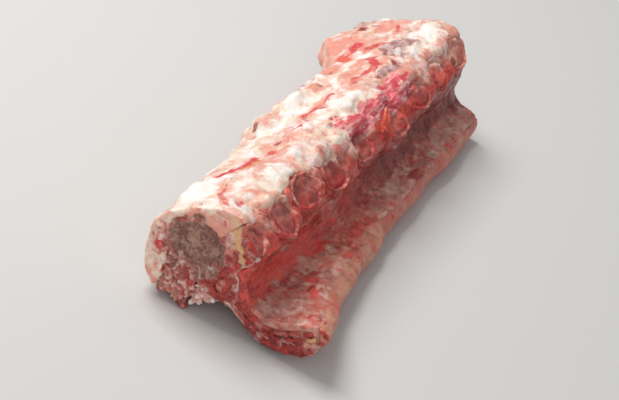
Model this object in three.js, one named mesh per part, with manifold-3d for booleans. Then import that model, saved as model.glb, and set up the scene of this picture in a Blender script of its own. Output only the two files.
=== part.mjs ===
// A length of lamb backbone sawn for soup: eight vertebrae in a row, the ribs sawn off close to the
// column, meat left on both sides of the bent blade of spines and fat over the chest side.
// Millimetres, +Z up. X runs along the backbone, the saw cut that shows is at -X.
import * as THREE from 'three';
import Module from 'manifold-3d';
import { LoftGeometry } from 'three/addons/geometries/LoftGeometry.js';
import { ImprovedNoise } from 'three/addons/math/ImprovedNoise.js';
import { mergeVertices } from 'three/addons/utils/BufferGeometryUtils.js';

const { degToRad, lerp, clamp } = THREE.MathUtils;

// Driving dimensions
const LENGTH = 212;
const VERTEBRAE = 8;
const PITCH = LENGTH / VERTEBRAE;
const GAP = 0.3;
const STATIONS = 22;
const REST_HEIGHT = 24.4;

// The middle line of a section: straight down from the column, then bent up into the blade,
// strongly at the front cut and hardly at the back cut
const ROOT_LEAN = degToRad(29);
const TURN_FRONT = degToRad(54);
const TURN_BACK = degToRad(3);
const BEND_START = 26;
const BEND_LENGTH = 20;

// Vertebral bodies, a round column pinched between the rib joints
const COLUMN_RADIUS = 13;
const COLUMN_PINCH = 1.3;
const COLUMN_DEPTH_RATIO = 0.95;
const COLUMN_SIDES = 16;

// Arch round the spinal canal and the blade of spines behind it
const CANAL_CENTRE = 15.8;
const CANAL_HALF = { dorsal: 3, side: 3.8 };
const CANAL_SIDES = 8;
const ARCH_HALF_WIDTH = 7;
const BLADE_START = 23;
const BLADE_HALF_THICKNESS = 1.3;
const SPINE_SHORT_OF_EDGE = 6.5;
const SPINE_TIP_WAVE = 1.6;

// Sawn stubs of the ribs and transverse processes, one pair at each joint. They are unevenly
// spaced, and the middle ones of the near row sit further down the side.
const STUB_START = -6;
const STUB_SPACING = 25.8;
const STUB_SWING = 4;
const STUB_SWING_TURN = Math.PI / 3;
const STUB_SAG = { at: 122, depth: 3.5, width: 34 };
const STUB_HALF = { along: 10, across: 7.4 };
const STUB_NEAR = { dorsal: 8, side: 4, reach: 19.6, tilt: degToRad(83) };
const STUB_FAR = { dorsal: 1, side: 4, reach: 20.6, tilt: degToRad(64) };
const STUB_SIDES = 12;
const STUB_RIM = 1.3;
const STUB_RECESS = 1.4;

// Muscle and fat: the blade is widest at the front cut and narrows quickly behind it
const EDGE_BACK = 42;
const EDGE_FLARE = 20.5;
const EDGE_FLARE_LENGTH = 55;
const FAT_STRIP = 5;
const LUMP_SIDE = { angle: degToRad(-34), spread: degToRad(26) };
const LUMPS = [
  { at: 90, height: 6, width: 15 },
  { at: 122, height: 6.5, width: 16 },
  { at: 186, height: 15, width: 15 },
  { at: 212, height: 10, width: 14 },
];

const wasm = await Module();
wasm.setup();
const perlin = new ImprovedNoise();

// Share of the way from the front cut to the back cut
function share(along) {
  return clamp(along / LENGTH, 0, 1);
}

// The middle line at a distance behind the column's centre: its place and how far it leans down
function middleLine(along, dorsal) {
  const radius = BEND_LENGTH / lerp(TURN_FRONT, TURN_BACK, share(along));
  const straight = Math.min(dorsal, BEND_START);
  const bent = clamp(dorsal - BEND_START, 0, BEND_LENGTH);
  const beyond = Math.max(0, dorsal - BEND_START - BEND_LENGTH);
  const lean = ROOT_LEAN - bent / radius;
  const bentAcross = radius * (Math.sin(ROOT_LEAN) - Math.sin(lean));
  const bentDown = radius * (Math.cos(lean) - Math.cos(ROOT_LEAN));
  const across = straight * Math.cos(ROOT_LEAN) + bentAcross + beyond * Math.cos(lean);
  const down = straight * Math.sin(ROOT_LEAN) + bentDown + beyond * Math.sin(lean);
  return { across, down, lean };
}

// A point from its place along the bone, behind the column's centre and to the near side
function place(along, dorsal, side) {
  const { across, down, lean } = middleLine(along, dorsal);
  return new THREE.Vector3(
    along - LENGTH / 2,
    -(across + side * Math.sin(lean)),
    REST_HEIGHT - down + side * Math.cos(lean),
  );
}

// Soft unevenness of a grown thing: every piece is pushed by the same slow field, so neighbours
// stay neighbours and the sawn ends stay flat.
function grown(geometry) {
  const waves = [{ swell: 1.7, span: 15 }, { swell: 0.6, span: 6 }];
  const points = geometry.attributes.position;
  for (let i = 0; i < points.count; i++) {
    const at = new THREE.Vector3().fromBufferAttribute(points, i);
    for (const { swell, span } of waves) {
      points.setY(i, points.getY(i) + swell * perlin.noise(at.x / span + 3.7, at.y / span, at.z / span));
      points.setZ(i, points.getZ(i) + swell * perlin.noise(at.x / span, at.y / span + 9.1, at.z / span));
    }
  }
  return geometry;
}

// Closed three.js geometry to a solid for joining and cutting
function solid(geometry) {
  const bare = new THREE.BufferGeometry();
  bare.setAttribute('position', geometry.attributes.position);
  bare.setIndex(geometry.index);
  const merged = mergeVertices(bare, 1e-4);
  return new wasm.Manifold(new wasm.Mesh({
    numProp: 3,
    vertProperties: Float32Array.from(merged.attributes.position.array),
    triVerts: Uint32Array.from(merged.index.array),
  }));
}

function joined(solids) {
  return solids.reduce((whole, piece) => whole.add(piece));
}

// The largest body of a cut solid: the crumbs that a cut leaves along its edges are dropped
function largest(cut) {
  return cut.decompose().reduce((best, body) => (body.volume() > best.volume() ? body : best));
}

// The solid back as a named mesh in its own colour
function meshOf(name, body, color, roughness) {
  const { vertProperties, triVerts } = largest(body).getMesh();
  const geometry = new THREE.BufferGeometry();
  geometry.setAttribute('position', new THREE.BufferAttribute(vertProperties, 3));
  geometry.setIndex(new THREE.BufferAttribute(triVerts, 1));
  geometry.computeVertexNormals();
  const material = new THREE.MeshStandardMaterial({ color, roughness, metalness: 0 });
  const mesh = new THREE.Mesh(geometry, material);
  mesh.name = name;
  return mesh;
}

// A smooth hump of height 1 over its middle
function hump(from, spread) {
  return Math.exp(-((from / spread) ** 2));
}

// The place of a pair of rib stubs along the bone
function stubAt(index) {
  return STUB_START + index * STUB_SPACING + STUB_SWING * Math.cos(index * STUB_SWING_TURN);
}

// How near a place along the bone is to a pair of rib stubs: 1 at the pair, 0 between two pairs
function atStub(along) {
  const pairs = Array.from({ length: VERTEBRAE + 1 }, (_, index) => Math.abs(along - stubAt(index)));
  return 0.5 + 0.5 * Math.cos((2 * Math.PI * Math.min(...pairs, PITCH / 2)) / PITCH);
}

// Distance from the column's centre to the blade's outer edge, shorter towards the back
function edgeAt(along) {
  return EDGE_BACK + EDGE_FLARE * Math.exp(-along / EDGE_FLARE_LENGTH) + 0.6 * Math.sin(along / 9);
}

// A geometry whose own axes are (dorsal, along, side) or another named order, put in its place
function laid(geometry, toSection) {
  const points = geometry.attributes.position;
  for (let i = 0; i < points.count; i++) {
    const { along, dorsal, side } = toSection(new THREE.Vector3().fromBufferAttribute(points, i));
    points.setXYZ(i, ...place(along, dorsal, side));
  }
  return solid(grown(geometry));
}

function column(extra) {
  const rings = VERTEBRAE * 2;
  const profile = [new THREE.Vector2(0, -extra)];
  for (let i = 0; i <= rings; i++) {
    const along = lerp(-extra, LENGTH + extra, i / rings);
    const radius = COLUMN_RADIUS - COLUMN_PINCH * (1 - atStub(along)) + extra;
    profile.push(new THREE.Vector2(radius, along));
  }
  profile.push(new THREE.Vector2(0, LENGTH + extra));
  const lathe = new THREE.LatheGeometry(profile, COLUMN_SIDES);
  lathe.scale(COLUMN_DEPTH_RATIO, 1, 1);
  return laid(lathe, ({ x, y, z }) => ({ dorsal: x, along: y, side: z }));
}

// Arch and blade of spines: one outline drawn behind the column
function spineOutline(extra) {
  const wide = ARCH_HALF_WIDTH + extra;
  const thin = BLADE_HALF_THICKNESS + extra;
  const waist = CANAL_CENTRE - 1.5;
  const tip = EDGE_BACK + EDGE_FLARE - SPINE_SHORT_OF_EDGE + 1.5 * extra;
  const steps = 5;
  const shape = new THREE.Shape();
  shape.moveTo(4, -wide);
  shape.lineTo(waist, -wide);
  shape.bezierCurveTo(CANAL_CENTRE + 4, -wide, BLADE_START - 3, -thin - 1, BLADE_START, -thin);
  for (let i = 1; i <= steps; i++) shape.lineTo(lerp(BLADE_START, tip, i / steps), -thin);
  for (let i = steps; i >= 0; i--) shape.lineTo(lerp(BLADE_START, tip, i / steps), thin);
  shape.bezierCurveTo(BLADE_START - 3, thin + 1, CANAL_CENTRE + 4, wide, waist, wide);
  shape.lineTo(4, wide);
  shape.closePath();
  return shape;
}

function spines(extra) {
  const geometry = new THREE.ExtrudeGeometry(spineOutline(extra), {
    depth: LENGTH + 2 * extra,
    steps: STATIONS / 2,
    bevelEnabled: false,
    curveSegments: 3,
  });
  const drawnEdge = EDGE_BACK + EDGE_FLARE;
  return laid(geometry, ({ x, y, z }) => {
    const along = z - extra;
    const behind = Math.max(0, x - BLADE_START) / (drawnEdge - SPINE_SHORT_OF_EDGE - BLADE_START);
    const shorter = edgeAt(along) - drawnEdge - SPINE_TIP_WAVE * (1 - atStub(along));
    return { along, dorsal: x + behind * shorter, side: -y };
  });
}

// One stub: a squat oval post with a raised rim of hard bone round its sawn, sunken middle
function stub(index, sideSign, extra) {
  const root = sideSign > 0 ? STUB_NEAR : STUB_FAR;
  const wobble = perlin.noise(index * 1.7, sideSign * 3.1, 0.5);
  const reach = root.reach + 1.2 * wobble + extra;
  const recess = extra > 0 ? 0 : STUB_RECESS;
  const inner = 1 - STUB_RIM / STUB_HALF.across;
  const profile = [
    [0, 0], [1, 0], [1, 0.92 * reach], [0.94, reach],
    [inner, reach], [inner - 0.1, reach - recess], [0, reach - recess],
  ].map(([radius, height]) => new THREE.Vector2(radius, height));
  const lathe = new THREE.LatheGeometry(profile, STUB_SIDES);
  const size = 1 + 0.14 * wobble;
  lathe.scale(STUB_HALF.across * size + extra, 1, STUB_HALF.along * size + extra);
  const tilt = root.tilt + 0.12 * perlin.noise(index * 2.3, sideSign, 7.5);
  const middle = stubAt(index) + wobble;
  const sag = sideSign > 0 ? STUB_SAG.depth * hump(middle - STUB_SAG.at, STUB_SAG.width) : 0;
  return laid(lathe, ({ x: wide, y: high, z: deep }) => ({
    along: middle - sideSign * deep,
    dorsal: root.dorsal + sag + high * Math.cos(tilt) + wide * Math.sin(tilt),
    side: sideSign * (root.side + high * Math.sin(tilt) - wide * Math.cos(tilt)),
  }));
}

function stubs(extra) {
  const posts = [];
  for (let index = 0; index <= VERTEBRAE; index++) {
    posts.push(stub(index, 1, extra), stub(index, -1, extra));
  }
  return joined(posts);
}

function boneSolid(extra) {
  return joined([column(extra), spines(extra), stubs(extra)]);
}

// A solid through the whole length from a closed outline that changes along the bone.
// outline(along) gives [dorsal, side] pairs.
function through(outline, overrun, count) {
  const sections = [];
  for (let i = 0; i <= count; i++) {
    const along = lerp(-overrun, LENGTH + overrun, i / count);
    sections.push(outline(along).map(([dorsal, side]) => place(along, dorsal, side)));
  }
  return solid(grown(new LoftGeometry(sections, { capStart: true, capEnd: true })));
}

// Smooth run of points through a few [dorsal, side] corners
function smoothRun(corners, count) {
  const curve = new THREE.SplineCurve(corners.map(([dorsal, side]) => new THREE.Vector2(dorsal, side)));
  return curve.getPoints(count).map((point) => [point.x, point.y]);
}

// Back along the middle line from the blade's edge to the arch
function middleRun(edge, side) {
  const steps = 5;
  return Array.from({ length: steps }, (_, i) => [lerp(edge, CANAL_CENTRE, (i + 1) / steps), side]);
}

// Muscle on the side that shows, from under the chest fat between the stubs out to the blade's edge
function nearMuscle(along) {
  const edge = edgeAt(along);
  const between = 1 - atStub(along);
  const outer = smoothRun([
    [3, 22.4 - between],
    [9, 22.8 - 1.2 * between],
    [15.2, 19.8 - 1.2 * between],
    [18.6, 12.8],
    [22.4, 5.4],
    [28, 3.4 + 0.3 * Math.sin(along / 11)],
    [lerp(28, edge, 0.35), 3.8],
    [lerp(28, edge, 0.6), 4.9 + 0.5 * Math.sin(along / 7)],
    [lerp(28, edge, 0.85), 3.6],
    [edge, 0.4],
  ], 14);
  return [...outer, ...middleRun(edge, 0.4), [3, 8]];
}

// Muscle on the side that lies on the table, thickest behind the arch where it fills the bend
function farMuscle(along) {
  const edge = edgeAt(along);
  const between = 1 - atStub(along);
  const outer = smoothRun([
    [2, -23.4 + between],
    [9, -20 + 1.4 * between],
    [14.5, -15.6 + between],
    [19, -6.2],
    [23.5, -3.4],
    [29, -3.8],
    [lerp(28, edge, 0.3), -7],
    [lerp(28, edge, 0.6), -8.4 + 0.5 * Math.sin(along / 8)],
    [lerp(28, edge, 0.85), -5.4],
    [edge, -0.4],
  ], 14);
  return [...outer, ...middleRun(edge, -0.4), [3, -8]].reverse();
}

// How far the lumps on the far flank stand out
function lumpAt(along) {
  return LUMPS.reduce((sum, { at, height, width }) => sum + height * hump(along - at, width), 0);
}

// Fat over the chest side: flat between the ventral middle line and each row of stubs
function chestOutline(along, extra) {
  const between = 1 - atStub(along);
  const skin = smoothRun([
    [3.4 + 2.2 * between + 2 * extra, 23.6 - between],
    [-3.6, 21.6 - 1.2 * between],
    [-10.6, 11.2],
    [-15.6, 2],
    [-15.6, -7.5],
    [-11.6, -15],
    [-5.4, -22.4],
    [0.6 + 2 * extra, -24.4 + between],
  ], 14);
  const ring = skin.map(([dorsal, side]) => {
    const radius = Math.hypot(dorsal, side);
    const angle = Math.atan2(side, -dorsal);
    const onFlank = hump(angle - LUMP_SIDE.angle, LUMP_SIDE.spread);
    const scale = (radius + extra + lumpAt(along) * onFlank) / radius;
    return [dorsal * scale, side * scale];
  });
  return [...ring, [2 + 2 * extra, -9], [2 + 2 * extra, 9]].reverse();
}

// The oval of the spinal canal, drawn in by the clearance of the cord that fills it
function canalRing(clearance) {
  return Array.from({ length: CANAL_SIDES }, (_, i) => {
    const angle = (-2 * Math.PI * i) / CANAL_SIDES;
    const dorsal = CANAL_CENTRE + (CANAL_HALF.dorsal - clearance) * Math.cos(angle);
    return [dorsal, (CANAL_HALF.side - clearance) * Math.sin(angle)];
  });
}

function canal(clearance, overrun) {
  return through(() => canalRing(clearance), overrun, STATIONS / 2);
}

// The thin sheet of gristle between the muscles at the blade's edge
function edgeSheet(along) {
  const edge = edgeAt(along);
  return [[edge - FAT_STRIP - 2, 1], [edge - 0.4, 1], [edge - 0.4, -1], [edge - FAT_STRIP - 2, -1]];
}

// Everything beyond a line near the blade's edge, for parting the strip of fat from the meat
function edgeBlock(offset) {
  const depth = 30;
  const outline = (along) => {
    const start = edgeAt(along) - FAT_STRIP + offset + 0.8 * Math.sin(along / 5.5);
    return [[start, depth], [start + depth, depth], [start + depth, -depth], [start, -depth]];
  };
  return through(outline, 2, STATIONS);
}

// The stretch of bone between the two saw cuts, above the surface that it lies on
function trimBlock() {
  const reach = 200;
  const block = new THREE.BoxGeometry(LENGTH, reach, reach);
  block.translate(0, 0, reach / 2);
  return solid(block);
}

function build() {
  const trim = trimBlock();
  const boneRoom = boneSolid(GAP);
  const chestRoom = through((along) => chestOutline(along, GAP), 1, STATIONS);
  const muscle = (outline) => through(outline, 1, STATIONS).subtract(boneRoom).subtract(chestRoom);
  const near = muscle(nearMuscle);
  const far = muscle(farMuscle);
  const bone = boneSolid(0).subtract(canal(0, 1));
  const chest = through((along) => chestOutline(along, 0), 1, STATIONS).subtract(boneRoom);
  const sheet = through(edgeSheet, 1, STATIONS);
  const strip = joined([near, far, sheet]).subtract(boneRoom).intersect(edgeBlock(GAP / 2));
  const edge = edgeBlock(-GAP / 2);
  const cord = canal(GAP, 1);
  return [
    meshOf('backbone', bone.intersect(trim), 0xb98f84, 0.7),
    meshOf('spinal_cord', cord.intersect(trim), 0xe6cdbd, 0.5),
    meshOf('meat_near', near.subtract(edge).intersect(trim), 0x8c2f2c, 0.45),
    meshOf('meat_far', far.subtract(edge).intersect(trim), 0x8c2f2c, 0.45),
    meshOf('chest_fat', chest.intersect(trim), 0xf1e2d2, 0.6),
    meshOf('edge_fat', strip.intersect(trim), 0xd9b79a, 0.55),
  ];
}

const carcass = new THREE.Group();
carcass.add(...build());
const middle = new THREE.Box3().setFromObject(carcass).getCenter(new THREE.Vector3());
carcass.position.set(-middle.x, -middle.y, 0);
const part = new THREE.Group();
part.add(carcass);
export default part;
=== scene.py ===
"""Looks of a frozen length of lamb backbone: sawn bone, dark lean meat, frosted fat and ice."""

import functools
import itertools
import logging
import math
from dataclasses import dataclass, field
from enum import Enum

import bmesh
import bpy
import numpy as np
from mathutils import Matrix, Vector
from mathutils.bvhtree import BVHTree

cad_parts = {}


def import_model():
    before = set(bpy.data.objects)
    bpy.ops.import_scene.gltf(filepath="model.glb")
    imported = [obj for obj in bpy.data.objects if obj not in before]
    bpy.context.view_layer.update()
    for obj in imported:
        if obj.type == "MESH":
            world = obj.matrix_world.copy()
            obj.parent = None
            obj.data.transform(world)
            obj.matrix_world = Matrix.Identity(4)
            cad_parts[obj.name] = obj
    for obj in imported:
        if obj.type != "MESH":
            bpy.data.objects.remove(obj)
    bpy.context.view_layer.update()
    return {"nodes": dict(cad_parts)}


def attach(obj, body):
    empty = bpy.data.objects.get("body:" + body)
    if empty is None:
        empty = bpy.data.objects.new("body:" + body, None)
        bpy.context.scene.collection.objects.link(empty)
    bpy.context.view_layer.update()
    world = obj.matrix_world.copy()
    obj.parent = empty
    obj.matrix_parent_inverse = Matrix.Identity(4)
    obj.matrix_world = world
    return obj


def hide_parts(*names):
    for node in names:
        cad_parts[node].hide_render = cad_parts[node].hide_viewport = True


Color = tuple[float, float, float]
Masks = dict[str, np.ndarray]
Socket = bpy.types.NodeSocket
Feed = Socket | float | tuple[float, ...]

LOG = logging.getLogger("lamb_bone")
MM = 0.001
LENGTH = 212.0
VERTEBRAE = 8
COLUMN_FLATNESS = 0.95
SEAM_RADIUS = 12.8
CRUMB_SIZE = 2.6
SMALL_CRUMB_SIZE = 1.3
SOFT_CEILING = 46.0
SOFT_CEILING_PRESS = 0.7
TABLE_GAP = 0.02
MIX_COLOR_SOCKETS = (6, 7)
MIX_RESULT_SOCKET = 2


class Keep(Enum):
    """Which side of a cutting plane stays."""

    FRONT = 1
    BACK = -1


def smooth(low: float, high: float, value: np.ndarray) -> np.ndarray:
    """Smooth step from 0 at low to 1 at high.

    Args:
        low: Value where the step starts.
        high: Value where the step ends; it may be below low for a falling step.
        value: The numbers to step.

    Returns:
        The stepped numbers, from 0 to 1.
    """
    part = np.clip((value - low) / (high - low), 0.0, 1.0)
    return part * part * (3.0 - 2.0 * part)


def greatest(*shares: np.ndarray) -> np.ndarray:
    """Returns the greatest of several numbers at each point."""
    return np.maximum.reduce(shares)


class SpaceNoise:
    """Seeded noise in space: soft waves and round cells."""

    length = 256
    gain = 1.7
    layer_shift = 17.3
    layer_fade = 0.6

    def __init__(self, seed: int) -> None:
        """Draws the gradients and the order of the cells.

        Args:
            seed: Start of the random draw.
        """
        draw = np.random.default_rng(seed)
        gradients = draw.normal(size=(self.length, 3))
        self.gradients = gradients / np.linalg.norm(gradients, axis=1)[:, None]
        self.jitter = draw.random((self.length, 3))
        order = draw.permutation(self.length)
        self.order = np.concatenate([order, order])

    def pick(self, cell: np.ndarray) -> np.ndarray:
        """Returns a number from 0 to 255 for each whole-number cell."""
        x, y, z = (cell % self.length).T
        return self.order[self.order[self.order[x] + y] + z]

    def waves(self, points: np.ndarray, span: float, stretch: float = 1.0) -> np.ndarray:
        """Soft noise from about -1 to 1.

        Args:
            points: Places in millimetres.
            span: Size of one wave in millimetres.
            stretch: How many times longer the waves are along the bone.

        Returns:
            One number for each point.
        """
        scaled = points / (span * np.array([stretch, 1.0, 1.0]))
        cell = np.floor(scaled).astype(np.int64)
        part = scaled - cell
        fade = part**3 * (part * (part * 6.0 - 15.0) + 10.0)
        total = np.zeros(len(points))
        for corner in itertools.product((0, 1), repeat=3):
            step = np.array(corner)
            slope = self.gradients[self.pick(cell + step)]
            weight = np.prod(np.where(step == 1, fade, 1 - fade), axis=1)
            total += weight * np.einsum("ij,ij->i", part - step, slope)
        return total * self.gain

    def layers(self, points: np.ndarray, span: float, count: int = 3) -> np.ndarray:
        """Waves of halving size added up.

        Args:
            points: Places in millimetres.
            span: Size of the largest wave in millimetres.
            count: Number of sizes.

        Returns:
            One number for each point, from about -1.5 to 1.5.
        """
        total = np.zeros(len(points))
        for step in range(count):
            total += self.waves(points + self.layer_shift * step, span / 2**step) * self.layer_fade**step
        return total

    def grains(self, points: np.ndarray, span: float) -> np.ndarray:
        """Distance to the nearest of many scattered middles, in spans.

        Args:
            points: Places in millimetres.
            span: Usual distance between two middles in millimetres.

        Returns:
            One number for each point, 0 at a middle and about 0.6 between two.
        """
        scaled = points / span
        cell = np.floor(scaled).astype(np.int64)
        nearest = np.full(len(points), np.inf)
        for corner in itertools.product((-1, 0, 1), repeat=3):
            near = cell + np.array(corner)
            middle = near + self.jitter[self.pick(near)]
            nearest = np.minimum(nearest, np.sum((scaled - middle) ** 2, axis=1))
        return np.sqrt(nearest)


TISSUE = SpaceNoise(seed=11)
FIBRE = SpaceNoise(seed=23)
RIME = SpaceNoise(seed=37)


@dataclass
class Places:
    """Points of a surface with their places on the bone's own section, in millimetres and degrees."""

    points: np.ndarray
    normals: np.ndarray
    along: np.ndarray
    dorsal: np.ndarray
    side: np.ndarray
    angle: np.ndarray

    def patches(self, span: float, shift: float = 0.0, count: int = 3) -> np.ndarray:
        """Soft noise of several sizes on the surface.

        Args:
            span: Size of the largest patches in millimetres.
            shift: Number that sets this pattern apart from others.
            count: Number of sizes.

        Returns:
            One number for each point, from about -1.5 to 1.5.
        """
        return TISSUE.layers(self.points + shift, span, count)

    def waves(self, span: float, shift: float = 0.0) -> np.ndarray:
        """Returns soft noise of one size on the surface, from about -1 to 1."""
        return TISSUE.waves(self.points + shift, span)

    def lines(self, span: float, width: float, shift: float) -> np.ndarray:
        """Returns thin wandering lines on the surface, 1 on a line and 0 away from it."""
        return smooth(width, 0, np.abs(self.waves(span, shift)))

    def grains(self, span: float, shift: float = 0.0) -> np.ndarray:
        """Returns distances to the nearest of many scattered middles on the surface, in spans."""
        return RIME.grains(self.points + shift, span)

    def cut(self) -> np.ndarray:
        """Returns 1 for points on one of the two saw cuts and 0 for those away from them."""
        facing = np.abs(self.normals[:, 0])
        return smooth(1.5, 0.7, self.from_end()) * smooth(0.45, 0.8, facing)

    def from_end(self) -> np.ndarray:
        """Returns how far points lie from the nearer saw cut, in millimetres."""
        return np.minimum(self.along, LENGTH - self.along)

    def from_column(self) -> np.ndarray:
        """Returns how far points lie from the middle line of the column, in millimetres."""
        return np.hypot(self.dorsal / COLUMN_FLATNESS, self.side)

    def wandering(self) -> tuple[np.ndarray, np.ndarray]:
        """Returns places along and round the column, bent so that spots get wavy sides."""
        return self.along + 3 * self.waves(13, 120), self.angle + 11 * self.waves(11, 160)


@dataclass(frozen=True)
class SectionFrame:
    """The bone's section: straight behind the column, then bent into the blade of spines."""

    column_y: float = 12.24
    column_z: float = 24.4
    root_lean: float = math.radians(29)
    turn_front: float = math.radians(54)
    turn_back: float = math.radians(3)
    bend_start: float = 26.0
    bend_length: float = 20.0

    def read(self, points: np.ndarray, normals: np.ndarray) -> Places:
        """Finds where points lie on the section.

        Args:
            points: Places in the part's frame, in millimetres.
            normals: Outward directions there.

        Returns:
            The points with their distances along, behind and beside the middle line.
        """
        along = points[:, 0] + LENGTH / 2
        across = self.column_y - points[:, 1]
        down = self.column_z - points[:, 2]
        root = self.root_lean
        dorsal = across * math.cos(root) + down * math.sin(root)
        side = across * math.sin(root) - down * math.cos(root)
        share = np.clip(along / LENGTH, 0.0, 1.0)
        turn = self.turn_front + (self.turn_back - self.turn_front) * share
        radius = self.bend_length / turn
        centre_across = self.bend_start * math.cos(root) + radius * math.sin(root)
        centre_down = self.bend_start * math.sin(root) - radius * math.cos(root)
        off_across = across - centre_across
        off_down = down - centre_down
        lean = np.arctan2(-off_across, off_down)
        ended = lean < root - turn
        end_lean = root - turn
        end_across = off_across + radius * np.sin(end_lean)
        end_down = off_down - radius * np.cos(end_lean)
        past = end_across * np.cos(end_lean) + end_down * np.sin(end_lean)
        bent_dorsal = np.where(ended, self.bend_length + past, (root - lean) * radius) + self.bend_start
        bent_side = np.where(
            ended,
            end_across * np.sin(end_lean) - end_down * np.cos(end_lean),
            radius - np.hypot(off_across, off_down),
        )
        straight = dorsal < self.bend_start
        return Places(
            points,
            normals,
            along,
            np.where(straight, dorsal, bent_dorsal),
            np.where(straight, side, bent_side),
            np.degrees(np.arctan2(side, -dorsal)),
        )


@dataclass(frozen=True)
class Spot:
    """An oval or a streak on the surface: where it is, its half sizes and how it slants."""

    along: float
    across: float
    half_along: float
    half_across: float
    slant: float = 0.0
    strength: float = 1.0

    def share(self, along: np.ndarray, across: np.ndarray, ragged: np.ndarray, spread: float) -> np.ndarray:
        """How strongly the spot shows at each point.

        Args:
            along: Distance of each point from the front cut.
            across: Degrees round the column, or millimetres behind it, as the spot has them.
            ragged: Noise that makes the spot's edge uneven.
            spread: How many times larger the spot is taken.

        Returns:
            Numbers from 0 to the spot's strength.
        """
        off_along = along - self.along
        off_across = across - self.across - self.slant * off_along
        away = np.hypot(off_along / self.half_along, off_across / self.half_across)
        return self.strength * smooth(1.25, 0.6, away / spread + 0.35 * ragged)


Spots = tuple[Spot, ...]


def strongest(spots: Spots, along: np.ndarray, across: np.ndarray, ragged: np.ndarray,
              spread: float = 1.0) -> np.ndarray:
    """Several spots together.

    Args:
        spots: The spots.
        along: Distance of each point from the front cut.
        across: Degrees or millimetres across, as the spots have them.
        ragged: Noise for the spots' edges.
        spread: How many times larger the spots are taken.

    Returns:
        The strongest share of any spot at each point.
    """
    return greatest(*(spot.share(along, across, ragged, spread) for spot in spots))


SECTION = SectionFrame()


# Meshes

@dataclass(frozen=True)
class CutPlane:
    """A plane that parts a copy of a solid."""

    point: tuple[float, float, float]
    normal: tuple[float, float, float]
    keep: Keep

    def apply(self, mesh: bmesh.types.BMesh) -> None:
        """Cuts the mesh and closes the cut.

        Args:
            mesh: The mesh, in metres.
        """
        cut = bmesh.ops.bisect_plane(
            mesh,
            geom=mesh.verts[:] + mesh.edges[:] + mesh.faces[:],
            dist=1e-7,
            plane_co=Vector(self.point) * MM,
            plane_no=Vector(self.normal) * self.keep.value,
            clear_inner=True,
        )
        rim = [item for item in cut["geom_cut"] if isinstance(item, bmesh.types.BMEdge)]
        bmesh.ops.holes_fill(mesh, edges=rim, sides=0)


def mesh_from(name: str, shape: bmesh.types.BMesh) -> bpy.types.Mesh:
    """Returns a new mesh of this name with the shape, which is used up."""
    mesh = bpy.data.meshes.new(name)
    shape.to_mesh(mesh)
    shape.free()
    return mesh


def link(name: str, mesh: bpy.types.Mesh) -> bpy.types.Object:
    """Returns a new object with this mesh, in the scene."""
    thing = bpy.data.objects.new(name, mesh)
    bpy.context.scene.collection.objects.link(thing)
    return thing


def fine_copy(node: bpy.types.Object, voxel: float, planes: tuple[CutPlane, ...] = ()) -> bpy.types.Mesh:
    """A closed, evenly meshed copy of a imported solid, or of the part of it between planes.

    Args:
        node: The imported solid's object.
        voxel: Size of the new faces in millimetres.
        planes: Planes that cut the copy first.

    Returns:
        The new mesh, in metres.
    """
    rough = bmesh.new()
    rough.from_mesh(node.data)
    bmesh.ops.remove_doubles(rough, verts=rough.verts, dist=1e-6)
    for plane in planes:
        plane.apply(rough)
    mesh = mesh_from("rough_copy", rough)
    copy = link("rough_copy", mesh)
    remesh = copy.modifiers.new("even", "REMESH")
    remesh.mode = "VOXEL"
    remesh.voxel_size = voxel * MM * 1.0
    soften = copy.modifiers.new("soften", "SMOOTH")
    soften.factor = 0.5
    soften.iterations = 3
    graph = bpy.context.evaluated_depsgraph_get()
    even = bpy.data.meshes.new_from_object(copy.evaluated_get(graph), depsgraph=graph)
    bpy.data.objects.remove(copy)
    bpy.data.meshes.remove(mesh)
    return even


def triples(items: bpy.types.bpy_prop_collection, name: str) -> np.ndarray:
    """Returns the three numbers of this name that each item of a mesh has."""
    flat = np.zeros(len(items) * 3, np.float32)
    items.foreach_get(name, flat)
    return flat.reshape(-1, 3).astype(float)


def positions(mesh: bpy.types.Mesh) -> np.ndarray:
    """Returns a mesh's vertices in millimetres."""
    return triples(mesh.vertices, "co") / MM


def place_vertices(mesh: bpy.types.Mesh, points: np.ndarray) -> None:
    """Moves a mesh's vertices.

    Args:
        mesh: The mesh.
        points: The new places in millimetres.
    """
    mesh.vertices.foreach_set("co", (points * MM).astype(np.float32).ravel())
    mesh.update()


def write_masks(mesh: bpy.types.Mesh, masks: Masks) -> None:
    """Stores the masks as attributes that the materials read.

    Args:
        mesh: The mesh.
        masks: A number from 0 to 1 for each vertex, by mask name.
    """
    for name in FRAYS:
        layer = mesh.attributes.new(name, "FLOAT", "POINT")
        layer.data.foreach_set("value", masks.get(name, np.zeros(len(mesh.vertices))).astype(np.float32))


def join_meshes(name: str, meshes: list[bpy.types.Mesh]) -> bpy.types.Object:
    """One object from several meshes.

    Args:
        name: Name of the object.
        meshes: The meshes, which are used up.

    Returns:
        The object.
    """
    whole = bmesh.new()
    for mesh in meshes:
        whole.from_mesh(mesh)
        bpy.data.meshes.remove(mesh)
    joined = mesh_from(name, whole)
    joined.shade_smooth()
    return link(name, joined)


# Materials

@dataclass(frozen=True)
class Fray:
    """How far noise moves a mask's edge, and the values between which the mask fades in."""

    amount: float
    low: float
    high: float


FRAYS = {
    "blush": Fray(1.0, 0.15, 0.95),
    "lean": Fray(0.9, 0.20, 0.80),
    "mauve": Fray(0.7, 0.20, 0.85),
    "crimson": Fray(0.7, 0.20, 0.75),
    "marrow": Fray(0.6, 0.15, 0.85),
    "grey": Fray(0.9, 0.15, 0.90),
    "blood": Fray(0.8, 0.12, 0.95),
    "gold": Fray(1.2, 0.20, 1.05),
    "orange": Fray(0.9, 0.25, 1.10),
    "frost": Fray(1.3, 0.25, 0.95),
}


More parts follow.
